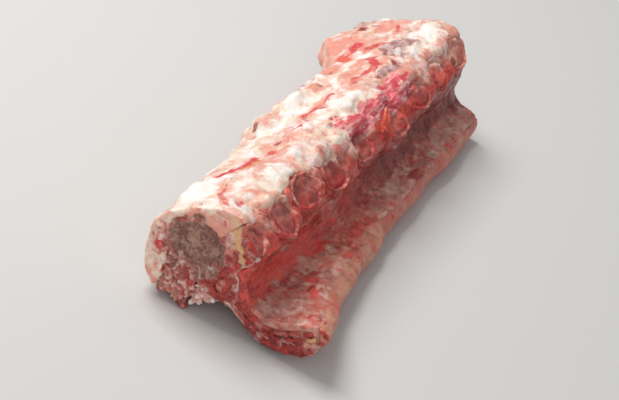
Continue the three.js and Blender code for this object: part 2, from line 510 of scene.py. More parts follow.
class Graph:
    """A short way to lay out and link the nodes of one material."""

    def __init__(self, name: str) -> None:
        """Starts an empty material with its output and its surface shader.

        Args:
            name: Name of the material.
        """
        self.material = bpy.data.materials.new(name)
        self.material.use_nodes = True
        self.tree = self.material.node_tree
        self.tree.nodes.clear()
        self.shader = self.node("BsdfPrincipled")
        output = self.node("OutputMaterial")
        self.tree.links.new(self.shader.outputs["BSDF"], output.inputs["Surface"])
        self.coordinates = self.node("TexCoord").outputs["Object"]

    def feed(self, socket: Socket, value: Feed) -> None:
        """Links a socket to another, or sets its number or colour.

        Args:
            socket: The input.
            value: An output socket, a number or a colour.
        """
        if isinstance(value, Socket):
            self.tree.links.new(value, socket)
        else:
            socket.default_value = value

    def shade(self, **values: Feed) -> None:
        """Feeds the shader's inputs, named with underscores for their spaces."""
        for name, value in values.items():
            self.feed(self.shader.inputs[name.replace("_", " ")], value)

    def node(self, kind: str, **settings: object) -> bpy.types.Node:
        """Returns a new node of this kind with these settings."""
        node = self.tree.nodes.new(f"ShaderNode{kind}")
        for name, value in settings.items():
            setattr(node, name, value)
        return node

    def noise(self, size: float, detail: float, distortion: float = 0.0,
              stretch: Color = (1.0, 1.0, 1.0)) -> Socket:
        """Soft noise on object coordinates.

        Args:
            size: Size of the largest waves in millimetres.
            detail: Number of finer sizes.
            distortion: How much the waves swirl.
            stretch: Factors on the coordinates.

        Returns:
            The noise, about 0.3 to 0.7.
        """
        mapping = self.node("Mapping")
        self.feed(mapping.inputs["Vector"], self.coordinates)
        mapping.inputs["Scale"].default_value = stretch
        node = self.node("TexNoise")
        self.feed(node.inputs["Vector"], mapping.outputs["Vector"])
        node.inputs["Scale"].default_value = 1 / (size * MM)
        node.inputs["Detail"].default_value = detail
        node.inputs["Distortion"].default_value = distortion
        return node.outputs["Fac"]

    def cells(self, size: float) -> Socket:
        """Returns the distance to the nearest of many scattered middles, this far apart in mm."""
        node = self.node("TexVoronoi")
        self.feed(node.inputs["Vector"], self.coordinates)
        node.inputs["Scale"].default_value = 1 / (size * MM)
        return node.outputs["Distance"]

    def math(self, kind: str, first: Feed, second: Feed) -> Socket:
        """Returns two numbers joined by a Math node of this kind."""
        node = self.node("Math", operation=kind)
        self.feed(node.inputs[0], first)
        self.feed(node.inputs[1], second)
        return node.outputs["Value"]

    def total(self, *parts: Feed) -> Socket:
        """Returns the sum of several numbers."""
        return functools.reduce(lambda first, second: self.math("ADD", first, second), parts)

    def times(self, *parts: Feed) -> Socket:
        """Returns the product of several numbers."""
        return functools.reduce(lambda first, second: self.math("MULTIPLY", first, second), parts)

    def step(self, value: Feed, low: float, high: float) -> Socket:
        """Returns a smooth step from 0 at low to 1 at high."""
        node = self.node("MapRange", interpolation_type="SMOOTHSTEP")
        self.feed(node.inputs["Value"], value)
        node.inputs["From Min"].default_value = low
        node.inputs["From Max"].default_value = high
        return node.outputs["Result"]

    def mask(self, name: str) -> Socket:
        """Returns one of the mesh's masks."""
        return self.node("Attribute", attribute_name=name).outputs["Fac"]

    def frayed(self, name: str, noise: Socket) -> Socket:
        """Returns a mask with its edge broken up by noise about 0.5."""
        fray = FRAYS[name]
        off = self.times(self.math("SUBTRACT", noise, 0.5), fray.amount)
        return self.step(self.total(self.mask(name), off), fray.low, fray.high)

    def blend(self, share: Socket, first: Feed, second: Feed) -> Socket:
        """A mix of two colours.

        Args:
            share: Share of the second colour.
            first: A colour or a socket.
            second: A colour or a socket.

        Returns:
            The mixed colour.
        """
        node = self.node("Mix", data_type="RGBA")
        self.feed(node.inputs["Factor"], share)
        for socket, value in zip(MIX_COLOR_SOCKETS, (first, second)):
            self.feed(node.inputs[socket], value if isinstance(value, Socket) else (*value, 1.0))
        return node.outputs[MIX_RESULT_SOCKET]

    def bump(self, height: Socket, depth: float, strength: float) -> None:
        """Gives the shader a fine relief.

        Args:
            height: The relief, from 0 to 1.
            depth: Depth of the relief in millimetres.
            strength: Share of the relief that shows.
        """
        node = self.node("Bump")
        node.inputs["Strength"].default_value = strength
        node.inputs["Distance"].default_value = depth * MM
        self.feed(node.inputs["Height"], height)
        self.shade(Normal=node.outputs["Normal"])


@dataclass(frozen=True)
class FleshFinish:
    """Frozen lean, fat and sawn bone, mixed by the masks on the mesh."""

    name: str
    lean_deep: Color = (0.210, 0.020, 0.018)
    lean_bright: Color = (0.480, 0.062, 0.046)
    fat: Color = (0.880, 0.750, 0.610)
    fat_shadow: Color = (0.780, 0.500, 0.385)
    blush: Color = (0.780, 0.320, 0.245)
    blood: Color = (0.480, 0.034, 0.036)
    ember: Color = (0.660, 0.105, 0.055)
    gold: Color = (0.760, 0.440, 0.215)
    orange: Color = (0.735, 0.105, 0.062)
    crimson_deep: Color = (0.690, 0.080, 0.110)
    crimson_ice: Color = (0.860, 0.500, 0.480)
    mauve_deep: Color = (0.300, 0.130, 0.130)
    mauve_pale: Color = (0.520, 0.330, 0.310)
    marrow_wall: Color = (0.470, 0.145, 0.122)
    marrow_pore: Color = (0.290, 0.062, 0.054)
    grey_wall: Color = (0.425, 0.225, 0.175)
    grey_pore: Color = (0.205, 0.080, 0.062)
    rime: Color = (0.920, 0.895, 0.865)
    rime_cover: float = 0.86
    wet_roughness: float = 0.30
    dry_roughness: float = 0.62
    patch_size: float = 5.0
    speck_size: float = 1.3
    grain_size: float = 0.45
    crystal_size: float = 0.9
    fibre_size: float = 1.5
    fibre_stretch: Color = (0.14, 1.0, 1.0)
    relief_depth: float = 0.50
    specular: float = 0.36
    scatter_share: float = 0.25
    scatter_radius: Color = (1.0, 0.42, 0.30)
    scatter_depth: float = 1.6

    def material(self) -> bpy.types.Material:
        """Lays out the nodes: fat, then each tissue or stain by its mask, then frost over all.

        Returns:
            The material.
        """
        graph = Graph(self.name)
        coarse = graph.noise(self.patch_size, 4.0, 0.4)
        fine = graph.noise(self.speck_size, 5.0, 0.3)
        grain = graph.noise(self.grain_size, 3.0)
        fibres = graph.noise(self.fibre_size, 3.0, 0.5, self.fibre_stretch)
        sponge = graph.total(graph.times(coarse, 1.5), graph.times(fine, 1.5), graph.times(grain, 0.7))
        pores = graph.step(sponge, 2.10, 1.55)
        layers = {
            "blush": self.blush,
            "lean": graph.blend(graph.step(fibres, 0.34, 0.68), self.lean_deep, self.lean_bright),
            "mauve": graph.blend(graph.step(coarse, 0.38, 0.60), self.mauve_deep, self.mauve_pale),
            "crimson": graph.blend(graph.step(fibres, 0.42, 0.70), self.crimson_deep, self.crimson_ice),
            "marrow": graph.blend(graph.step(coarse, 0.60, 0.40), self.marrow_wall, self.marrow_pore),
            "grey": graph.blend(pores, self.grey_wall, self.grey_pore),
            "blood": graph.blend(graph.step(coarse, 0.50, 0.66), self.blood, self.ember),
            "gold": self.gold,
            "orange": self.orange,
        }
        color = graph.blend(graph.step(coarse, 0.36, 0.60), self.fat_shadow, self.fat)
        for name, tint in layers.items():
            color = graph.blend(graph.frayed(name, fine), color, tint)
        frost = graph.frayed("frost", grain)
        matt = graph.times(frost, self.dry_roughness - self.wet_roughness)
        uneven = graph.times(graph.math("SUBTRACT", fine, 0.5), 0.35)
        graph.shade(
            Base_Color=graph.blend(graph.times(frost, self.rime_cover), color, self.rime),
            Roughness=graph.total(matt, self.wet_roughness, uneven),
            Specular_IOR_Level=self.specular,
            Subsurface_Weight=self.scatter_share,
            Subsurface_Radius=self.scatter_radius,
            Subsurface_Scale=self.scatter_depth * MM,
        )
        crystals = graph.times(graph.math("SUBTRACT", 1.0, graph.cells(self.crystal_size)), frost)
        graph.bump(graph.total(
            graph.times(crystals, 0.28),
            graph.times(fibres, graph.mask("lean"), 0.6),
            graph.times(fine, 0.5),
            graph.times(grain, 0.25),
            graph.times(pores, graph.mask("grey"), -0.7),
        ), self.relief_depth, 0.9)
        return graph.material


@dataclass(frozen=True)
class IceFinish:
    """Loose rime: small pale grains that let a little light through."""

    name: str = "loose_rime"
    color: Color = (0.900, 0.740, 0.680)
    dusk: float = 0.90
    patch_size: float = 2.2
    roughness: float = 0.50
    scatter_share: float = 0.60
    scatter_radius: Color = (1.0, 0.85, 0.75)
    scatter_depth: float = 1.4

    def material(self) -> bpy.types.Material:
        """Lays out the nodes.

        Returns:
            The material.
        """
        graph = Graph(self.name)
        darker = tuple(self.dusk * part for part in self.color)
        patches = graph.step(graph.noise(self.patch_size, 2.0), 0.35, 0.65)
        graph.shade(
            Base_Color=graph.blend(patches, darker, self.color),
            Roughness=self.roughness,
            Subsurface_Weight=self.scatter_share,
            Subsurface_Radius=self.scatter_radius,
            Subsurface_Scale=self.scatter_depth * MM,
        )
        return graph.material


@dataclass(frozen=True)
class FloorFinish:
    """Plain pale table."""

    name: str = "pale_table"
    color: Color = (0.62, 0.615, 0.61)
    roughness: float = 0.75

    def material(self) -> bpy.types.Material:
        """Returns the material."""
        graph = Graph(self.name)
        graph.shade(Base_Color=(*self.color, 1.0), Roughness=self.roughness)
        return graph.material


# Pieces

@dataclass
class Tissue:
    """One kind of tissue: a fine copy of its solid with relief, masks and a finish."""

    node: str
    name: str
    slot: str
    voxel: float
    finish: FleshFinish
    swell: float = 0.30
    lumpy: float = 1.0
    loose_share: float = 0.0
    built: list[Places] = field(default_factory=list)
    rime: list[np.ndarray] = field(default_factory=list)

    def copies(self, node: bpy.types.Object) -> list[bpy.types.Mesh]:
        """Returns the fine meshes that make up the piece."""
        return [fine_copy(node, self.voxel)]

    def masks(self, places: Places) -> Masks:
        """Returns the masks of the surface."""
        raise NotImplementedError

    def relief(self, places: Places, masks: Masks) -> np.ndarray:
        """How far each point stands out from the solid.

        Args:
            places: The surface's points.
            masks: The surface's masks.

        Returns:
            Millimetres along the normal.
        """
        lumps = self.lumpy * (0.70 * places.waves(8) + 0.45 * places.waves(3.6))
        fibres = 0.26 * FIBRE.waves(places.points, 1.8, 6.0) * masks["lean"]
        snow = (0.62 - places.grains(2.3)) * 0.85 * masks["frost"]
        snow += (0.62 - places.grains(1.2, 5)) * 0.35 * masks["frost"]
        return self.swell + (1 - 0.75 * places.cut()) * (lumps + fibres) + 0.14 * places.waves(1.5) + snow

    def build(self, nodes: dict[str, bpy.types.Object]) -> None:
        """Makes the piece and notes where its surface lies.

        Args:
            nodes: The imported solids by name.
        """
        meshes = self.copies(nodes[self.node])
        for mesh in meshes:
            places = SECTION.read(positions(mesh), triples(mesh.vertex_normals, "vector"))
            masks = {name: np.clip(values, 0.0, 1.0) for name, values in self.masks(places).items()}
            moved = places.points + places.normals * self.relief(places, masks)[:, None]
            over = np.maximum(moved[:, 2] - SOFT_CEILING, 0.0)
            moved[:, 2] = np.maximum(moved[:, 2] - SOFT_CEILING_PRESS * over, TABLE_GAP)
            place_vertices(mesh, moved)
            write_masks(mesh, masks)
            self.built.append(SECTION.read(moved, places.normals))
            self.rime.append(self.loose_share * smooth(0.6, 1, masks["frost"]))
        piece = join_meshes(self.name, meshes)
        piece.data.materials.append(self.finish.material())
        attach(piece, "root")
        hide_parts(self.node)
        LOG.info("%s: %d faces", self.name, len(piece.data.polygons))


def crumbled(places: Places) -> np.ndarray:
    """Returns the share of each point in the crumbly part of the front cut, low on the far side."""
    far_side = smooth(-3, -9, places.side + 3 * places.patches(6, 53, 2))
    return smooth(9, 2, places.along) * far_side * smooth(24, 18, places.dorsal)


def rim_crumbs(places: Places) -> np.ndarray:
    """Returns the share of each point in the crumbly left rim of the front cut."""
    ragged = places.patches(6, 57, 2)
    inside = smooth(18, 16.5, places.from_column() + 1.2 * ragged)
    return smooth(2.5, 0.8, places.along) * smooth(0, -28, places.angle + 12 * ragged) * inside


def crumb_gaps(places: Places) -> np.ndarray:
    """Returns how far down between the crumbs points lie, from 0 on top to 1 in the gaps."""
    bend = np.stack([places.waves(3.5, shift) for shift in (3, 31, 67)], axis=1)
    large = smooth(0.25, 0.68, places.grains(CRUMB_SIZE, 8 + 1.6 * bend))
    small = smooth(0.25, 0.68, places.grains(SMALL_CRUMB_SIZE, 2 + bend))
    return 0.65 * large + 0.35 * small


def seam_fill(places: Places) -> np.ndarray:
    """Returns extra swelling that closes the groove round the column at the saw cuts."""
    off_seam = np.abs(places.from_column() - SEAM_RADIUS)
    return 0.4 * smooth(2.5, 0.6, places.from_end()) * smooth(3, 1.2, off_seam)


@dataclass(frozen=True)
class Overlay:
    """Stained membrane and fat that lie over several tissues, and the yellow fat in the front cut."""

    crimson: Spots = (Spot(120, 102, 34, 14, 0.2), Spot(134, 104, 19, 14, 0.1))
    orange: Spots = (
        Spot(115, 116, 10, 5.5, 0.05), Spot(136, 118, 10, 5.5, 0, 0.9), Spot(160, 119, 7, 6, 0, 0.5),
        Spot(178, 118, 9, 8, 0, 0.7), Spot(198, 114, 8, 6, 0, 0.4),
    )
    lapping_fat: Spots = (
        Spot(179, 98, 36, 24, 0.05), Spot(70, 97, 11, 13, 0, 0.9), Spot(84, 106, 10, 10, 0.1, 0.9),
        Spot(107, 113, 9, 5, 0.2, 0.8), Spot(24, 96, 8, 9, 0, 0.7),
    )
    cut_gold: Spots = (Spot(5, 18.3, 6, 2.8, -0.72, 0.9), Spot(11, 14.5, 3.6, 2, -0.8, 0.85))

    def shares(self, places: Places, reach: np.ndarray) -> tuple[np.ndarray, np.ndarray, np.ndarray]:
        """Shares of the crimson membrane, the orange membrane and the fat that laps over.

        Args:
            places: The surface's points.
            reach: Share of each point that they can cover.

        Returns:
            The three shares.
        """
        where = (*places.wandering(), 1.2 * places.patches(3.2, 77))
        crimson = reach * strongest(self.crimson, *where)
        orange = reach * strongest(self.orange, *where)
        lapped = reach * strongest(self.lapping_fat, *where) * (1 - greatest(crimson, orange))
        return crimson, orange, lapped


OVERLAY = Overlay()


@dataclass
class ChestFat(Tissue):
    """Fat and membranes over the chest side, under a thick coat of rime."""

    node: str = "chest_fat"
    name: str = "frosted_chest_fat"
    slot: str = "frosted_fat"
    voxel: float = 0.65
    finish: FleshFinish = FleshFinish(
        "frosted_fat", blood=(0.640, 0.046, 0.056), ember=(0.720, 0.120, 0.075),
        mauve_deep=(0.370, 0.165, 0.160), mauve_pale=(0.600, 0.400, 0.375)
    )
    red_streaks: Spots = (
        Spot(38, 41, 11, 10, 1.6), Spot(54, 55, 3, 6, 0, 0.8), Spot(70, 56, 7, 4, 0.5, 0.9),
        Spot(75, 59, 4, 10), Spot(96, 54, 6, 6), Spot(126, 57, 30, 6.5, 0.15, 0.85),
        Spot(158, 52, 12, 9, -1.6, 0.85), Spot(174, 27, 6, 13, 0.3, 0.95), Spot(176, 4, 5, 8, 0, 0.8),
        Spot(200, 30, 7, 6, -0.5, 0.7), Spot(10, 67, 9, 5, -1.7, 0.75), Spot(8, 89, 4, 4, 0, 0.7),
    )
    orange_spots: Spots = (
        Spot(165, -7, 6, 9), Spot(177, 16, 3, 4, 0, 0.5), Spot(121, 9, 4, 5, 0, 0.5),
    )
    gold_spots: Spots = (Spot(40, 51, 8, 4, 1.6, 0.7), Spot(121, 8, 6, 8, 0, 0.45))
    laps: Spots = (
        Spot(98, 98, 10, 13), Spot(150, 98, 10, 12, 0, 0.9), Spot(66, 98, 7, 11, 0, 0.8),
        Spot(84, 100, 8, 10, 0, 0.8), Spot(22, 98, 8, 10, 0, 0.7), Spot(190, 98, 10, 12, 0, 0.8),
        Spot(124, 98, 6, 10, 0, 0.5),
    )
    lap_height: float = 2.4
    flank_lumps: Spots = (
        Spot(106, 2, 7.5, 15), Spot(83, 5, 7, 14, 0, 0.8), Spot(121, 8, 7, 10, 0, 0.7),
        Spot(62, -4, 7, 14, 0, 0.5), Spot(146, -8, 8, 14, 0, 0.6),
    )
    lump_height: float = 2.4
    pink_patches: Spots = (
        Spot(83, 7, 7, 14), Spot(124, 16, 10, 15), Spot(149, -6, 8, 12), Spot(177, -24, 9, 14),
        Spot(20, 45, 8, 8, 0, 0.5), Spot(60, 62, 8, 8, 0, 0.5), Spot(145, 40, 16, 12, 0, 0.7),
        Spot(176, 10, 14, 22, 0, 0.9), Spot(202, 30, 10, 24, 0, 0.8), Spot(140, -25, 40, 22, 0, 0.8),
    )
    mauve_patches: Spots = (
        Spot(87, 89, 4, 5, 0, 0.7), Spot(176, 62, 13, 26), Spot(198, 62, 8, 14, 0, 0.45),
        Spot(150, 83, 12, 8, 0.15), Spot(55, 24, 8, 8, 0.6, 0.35), Spot(205, -20, 8, 20, 0, 0.5),
        Spot(132, -10, 8, 8, 0, 0.6),
    )
    # Dark holes: painted shade in sunken holes, drawn with the marrow colour.
    dark_holes: Spots = (
        Spot(80, -7, 2.4, 6), Spot(64.5, 54, 2.6, 3, 0, 0.9), Spot(165, 66, 2.2, 9, 1.6, 0.9),
        Spot(101, 60, 2, 4, 0, 0.9), Spot(142, 81, 2, 4, 0, 0.9), Spot(158, 82, 2.8, 4.5, 0, 0.9),
        Spot(170, 49, 2.4, 6, 0, 0.8),
    )
    mounds: Spots = (
        Spot(109, -2, 8, 20), Spot(111, 66, 7, 15, 0, 0.9), Spot(76, 66, 8, 16, 0, 0.9),
        Spot(60, 82, 7, 11, 0, 0.8), Spot(92, 20, 6, 14, 0, 0.7), Spot(16, 10, 7, 20, 0, 0.6),
        Spot(140, -10, 8, 20, 0, 0.7), Spot(42, 76, 8, 12, 0, 0.5), Spot(133, -8, 8, 14),
        Spot(156, -10, 7, 12, 0, 0.9), Spot(82, -4, 8, 12, 0, 0.8), Spot(195, 76, 9, 9, 0, 0.5),
    )
    mound_height: float = 1.5
    snow_patches: Spots = (
        Spot(184, 90, 17, 17), Spot(107, 6, 9, 17), Spot(172, 64, 9, 13, 0, 0.55), Spot(18, 22, 13, 20),
        Spot(100, 30, 13, 12, 0, 0.8), Spot(52, 30, 9, 12, 0, 0.6), Spot(78, 100, 14, 7, 0, 0.8),
    )
    sponge_reach: float = 14.6

    def masks(self, places: Places) -> Masks:
        """Masks of cream fat with pink patches, red streaks, rime and painted shade in the holes.

        Args:
            places: The surface's points.

        Returns:
            The masks by name.
        """
        ragged = places.patches(6)
        where = places.wandering()
        torn = (*where, 1.3 * places.patches(3.2, 77))
        soft = (*where, ragged)
        cut = places.cut()
        inner = 1 - cut
        streaks = strongest(self.red_streaks, *torn)
        streaks *= 0.35 + 0.65 * smooth(-0.35, 0.15, places.waves(14, 300))
        glow = strongest(self.red_streaks, *torn, 3)
        orange = greatest(strongest(self.orange_spots, *torn), strongest(OVERLAY.orange, *torn))
        crimson = strongest(OVERLAY.crimson, *torn)
        dull = smooth(0.45, 0.95, places.patches(9, 205)) * smooth(-30, 10, places.angle)
        mauve = greatest(strongest(self.mauve_patches, *soft), 0.45 * dull)
        # Painted shade: the dark holes and the pits between the mauve lumps get the dark marrow colour and
        # lose their frost.
        pits = smooth(0.45, 0.80, places.grains(4, 4)) * smooth(0.3, 0.7, mauve)
        holes = greatest(strongest(self.dark_holes, *where, 0.5 * ragged), 0.4 * pits)
        mounds = strongest(self.mounds, *where, 0.3 * ragged)
        snow = strongest(self.snow_patches, *soft)
        pink = strongest(self.pink_patches, *soft)
        veins = places.lines(11, 0.1, 90) * smooth(0.25, 0.6, places.waves(19, 60) + 0.3 * ragged)
        flank = smooth(14, -14, places.angle) * inner
        edge = smooth(76, 94, places.angle + 6 * ragged) * inner
        raw_edge = smooth(85, 97, places.angle + 5 * ragged) * smooth(95, 135, places.along) * inner
        crumbs = rim_crumbs(places)
        gaps = crumbs * smooth(0.25, 0.75, crumb_gaps(places))
        specks = gaps * smooth(-0.6, 0.1, places.patches(4, 35, 2))
        stained = greatest(streaks, 0.95 * crimson, 0.85 * mauve, orange)
        frost = 0.47 + 0.60 * places.patches(7, 23) + 0.25 * places.waves(17, 40)
        frost += 0.4 * greatest(mounds, snow) - 0.25 * edge - 0.15 * flank - 0.45 * pink
        frost = frost * (1 - 0.8 * stained) * (1 - 0.5 * cut) - 0.2 * raw_edge
        frost += 0.35 * flank * places.waves(24, 420) + 0.25 * crumbs - 1.1 * gaps
        blush = 0.05 + 0.65 * places.patches(9, 70) + 0.45 * edge + 0.25 * flank + 0.6 * pink
        blush += 0.25 * smooth(105, 150, places.along) * (1 - snow)
        islands = TISSUE.layers(places.points * np.array([0.45, 1.0, 1.0]) + 410, 14, 3)
        column = places.from_column()
        inner_rim = cut * smooth(16, 13.5, column + ragged) * (1 - crumbs)
        spotted = cut * smooth(0.45, 0.9, places.patches(3, 222)) * (1 - crumbs)
        fatty = smooth(0.35, 0.8, places.waves(7, 130)) * greatest(cut, 0.6 * flank)
        yellow = cut * strongest(OVERLAY.cut_gold, places.dorsal, places.side, ragged)
        sponge = cut * smooth(self.sponge_reach, self.sponge_reach - 1.2, column + 1.4 * places.patches(4))
        sponge *= smooth(-25, 10, places.angle + 14 * ragged) * smooth(72, 58, places.angle)
        red_meat = 0.45 * smooth(0.5, 0.9, places.patches(8, 61)) + 0.25 * raw_edge
        clumps = smooth(-0.2, 0.6, places.patches(5, 166, 2))
        return {
            "lean": red_meat * (1 - mounds) + 0.45 * flank * smooth(0.35, 0.8, islands),
            "blood": greatest(streaks, 0.45 * veins, 0.9 * specks, 0.8 * spotted) * (1 - 0.6 * crimson),
            "frost": frost * (1 - holes) * (1 - 0.8 * sponge) + 0.35 * mauve * (1 - pits) * clumps,
            "blush": greatest(blush, 0.85 * glow) + cut * (0.30 + 0.55 * places.patches(3.4, 111))
                     + 0.3 * raw_edge + 0.35 * inner_rim - 0.3 * snow,
            "gold": greatest(
                0.45 * fatty, 0.9 * yellow + 0.35 * inner_rim, strongest(self.gold_spots, *torn)
            ),
            "orange": orange,
            # Here the marrow mask carries the painted shade of the holes and pits.
            "marrow": holes,
            "crimson": crimson,
            "mauve": mauve,
            "grey": sponge,
        }

    def relief(self, places: Places, masks: Masks) -> np.ndarray:
        """Adds mounds, laps, lumps and crumbs to the usual relief and sinks the streaks and dark holes.

        Args:
            places: The surface's points.
            masks: The surface's masks.

        Returns:
            Millimetres along the normal.
        """
        where = (*places.wandering(), 0.25 * places.patches(6))
        swollen = 0.55 * places.waves(14, 7) + self.mound_height * strongest(self.mounds, *where)
        swollen += self.lump_height * strongest(self.flank_lumps, *where)
        swollen += self.lap_height * strongest(self.laps, *where) * smooth(84, 92, places.angle)
        swollen += 0.35 * smooth(80, 94, places.angle)
        swollen += (0.6 - places.grains(4, 4)) * 1.6 * masks["mauve"]
        sunk = 1.1 * masks["marrow"] + 0.15 * masks["blood"] + 0.4 * masks["crimson"]
        crumbs = (0.8 - 2 * crumb_gaps(places)) * rim_crumbs(places)
        usual = super().relief(places, masks)
        return usual + swollen * (1 - places.cut()) + crumbs - sunk + seam_fill(places)


@dataclass
class NearMeat(Tissue):
    """Lean meat in the trough beside the spines, paler and frosted on the outer half, with painted shade
    that darkens the trough towards the back.
    """

    node: str = "meat_near"
    name: str = "lean_meat_near"
    slot: str = "lean_meat"
    voxel: float = 0.54
    lumpy: float = 1.2
    # The mauve colours also paint the shade at the back of the trough.
    finish: FleshFinish = FleshFinish(
        "lean_meat_near", lean_deep=(0.310, 0.030, 0.025), lean_bright=(0.640, 0.095, 0.072),
        fat=(0.60, 0.35, 0.27), fat_shadow=(0.38, 0.15, 0.12), blush=(0.58, 0.18, 0.14),
        blood=(0.720, 0.085, 0.074), ember=(0.740, 0.105, 0.070), mauve_deep=(0.19, 0.028, 0.024),
        mauve_pale=(0.32, 0.070, 0.056), rime=(0.74, 0.48, 0.43), rime_cover=0.74
    )
    pale_patches: Spots = (
        Spot(74, 22, 9, 3.5, 0.2, 0.55), Spot(12, 40, 9, 5, 0.3, 0.7), Spot(42, 45, 8, 5, 0, 0.6),
        Spot(119, 36, 12, 5, 0, 0.75), Spot(103, 37, 9, 4, 0, 0.6), Spot(186, 32, 18, 5, 0, 0.85),
        Spot(166, 36, 9, 4, 0, 0.5),
    )
    red_patches: Spots = (
        Spot(34, 24, 30, 5), Spot(55, 29, 12, 4, 0.1, 0.9), Spot(80, 36, 9, 4, -0.1, 0.8),
        Spot(34, 38, 4, 2.2, 0.4, 0.9), Spot(25, 45, 4, 2, -0.4, 0.8), Spot(60, 42, 3, 2, 0, 0.8),
        Spot(140, 37, 6, 3, 0, 0.9), Spot(90, 37, 7, 3.5, 0.2, 0.7), Spot(92, 28, 10, 4, 0, 0.7),
        Spot(74, 33, 8, 4, 0, 0.6),
    )
    pack_dorsal: float = 18.0
    pack_height: float = 2.4
    join: float = 1.5

    def masks(self, places: Places) -> Masks:
        """Masks of the red trough, the paler outer band, the flesh packed between the stubs and the painted
        shade towards the back.

        Args:
            places: The surface's points.

        Returns:
            The masks by name.
        """
        along = places.along
        ragged = places.patches(6)
        trough = smooth(34, 25, places.dorsal + 3.5 * ragged)
        outer = 1 - trough
        packed = smooth(self.pack_dorsal, self.pack_dorsal - 4, places.dorsal + 1.5 * ragged)
        crimson, orange, lapped = OVERLAY.shares(places, packed)
        under = packed * smooth(112, 121, places.wandering()[1] + 4 * ragged)
        pale = strongest(self.pale_patches, along, places.dorsal, ragged)
        red = strongest(self.red_patches, along, places.dorsal, ragged)
        # Painted shade: towards the back the red patches turn dark mauve.
        red_shaded_back = red * smooth(60, 120, along)
        dots = smooth(0.30, 0.12, places.grains(4.2, 2)) * outer * smooth(-0.1, 0.4, places.waves(9, 27))
        fresh = smooth(-0.1, 0.6, places.patches(9, 83)) * smooth(150, 50, along) * trough * (1 - lapped)
        # Painted shade: the trough turns darker mauve towards the back.
        dusk = smooth(45, 150, along) * trough * (1 - 0.85 * packed)
        frost = 0.27 * outer + 0.66 * places.patches(3.6, 51)
        frost += 0.3 * outer * places.waves(14, 81) - 0.18 * smooth(40, 110, along)
        frost -= 0.2 * trough * smooth(100, 150, along) * (1 - packed)
        frost += 0.25 * packed * smooth(-0.3, 0.5, places.waves(7, 330))
        frost *= (1 - 0.85 * red) * (1 - 0.45 * places.cut()) * (1 - dots)
        lean = greatest((0.92 - 0.5 * packed) * trough, 0.34 + 0.5 * places.patches(6, 31), 0.8 * red)
        return {
            "lean": lean * (1 - 0.85 * pale) * (1 - 0.9 * lapped) + 0.35 * under,
            "blood": greatest(0.75 * fresh, 0.5 * under, 0.8 * red - 0.5 * red_shaded_back, 0.9 * dots),
            "frost": frost + 0.4 * pale + 0.85 * lapped - 0.25 * under,
            "blush": 0.45 + 0.5 * places.patches(8, 12, 2) + 0.3 * packed,
            # The mauve mask also carries the painted shade at the back of the trough.
            "mauve": 0.45 * outer * smooth(0, 0.7, places.patches(6, 37)) + 0.9 * dusk
                     + 0.6 * (red_shaded_back - pale),
            "crimson": crimson,
            "orange": orange,
        }

    def relief(self, places: Places, masks: Masks) -> np.ndarray:
        """Packs the flesh up round the stubs and presses it against the strip of fat.

        Args:
            places: The surface's points.
            masks: The surface's masks.

        Returns:
            Millimetres along the normal.
        """
        packed = smooth(self.pack_dorsal + 3, self.pack_dorsal - 4, places.dorsal)
        packed *= smooth(0, 12, places.from_end())
        height = super().relief(places, masks) - 0.3 * masks["blood"]
        height += self.pack_height * packed * (0.8 + 0.7 * places.waves(8, 3))
        joined = smooth(0.45, 0.85, -places.normals[:, 1]) * smooth(30, 36, places.dorsal)
        joined *= smooth(1, 7, places.from_end())
        return height * (1 - joined) + self.join * joined


@dataclass
class FarMeat(Tissue):
    """Lean meat under the blade of spines, dark where the saw has cut it."""

    node: str = "meat_far"
    name: str = "lean_meat_far"
    slot: str = "lean_meat_far"
    voxel: float = 0.7
    finish: FleshFinish = FleshFinish(
        "lean_meat_far", fat=(0.72, 0.48, 0.38), fat_shadow=(0.56, 0.28, 0.22), rime_cover=0.74,
        lean_deep=(0.180, 0.014, 0.014), lean_bright=(0.420, 0.050, 0.040)
    )
    cut_gold: Spots = (Spot(54.5, -1.2, 2.4, 1.3),)
    sinew_sides: tuple[float, ...] = (-0.6, -3.2)
    sinew_width: float = 0.42

    def sinews(self, places: Places) -> np.ndarray:
        """Returns the share of each point in the pale sinews that run out along the sawn blade."""
        wavy = places.side + 1.2 * places.patches(7, 14)
        width = self.sinew_width
        shares = (smooth(2 * width, 0.4 * width, np.abs(wavy - side)) for side in self.sinew_sides)
        return greatest(*shares) * smooth(-0.4, 0.1, places.waves(6, 33)) * places.cut()

    def masks(self, places: Places) -> Masks:
        """Masks of dark meat with fat between its bundles.

        Args:
            places: The surface's points.

        Returns:
            The masks by name.
        """
        cut = places.cut()
        crumbs = crumbled(places)
        ragged = places.patches(5)
        sinews = self.sinews(places)
        lean = 0.6 + 0.5 * places.patches(9, 31) + 0.35 * cut
        dark = smooth(0, 0.7, places.patches(9, 83)) * np.clip(lean, 0.0, 1.0)
        frost = 0.32 + 0.5 * places.patches(7, 51) - 0.3 * cut + 1.05 * crumbs
        off_table = places.points[:, 2] > 0.6
        return {
            "lean": lean * (1 - 0.6 * sinews) * (1 - 0.7 * crumbs),
            "blood": dark * (1 - 0.8 * sinews) * (1 - 0.8 * crumbs),
            "frost": frost * off_table * (1 - 0.8 * crumbs * crumb_gaps(places)),
            "blush": 0.45 + 0.4 * ragged + 0.6 * crumbs,
            "gold": cut * strongest(self.cut_gold, places.dorsal, places.side, 0.5 * ragged),
        }

    def relief(self, places: Places, masks: Masks) -> np.ndarray:
        """Returns the usual relief with crumbs, in millimetres along the normal."""
        return super().relief(places, masks) + (0.9 - 2.4 * crumb_gaps(places)) * crumbled(places)


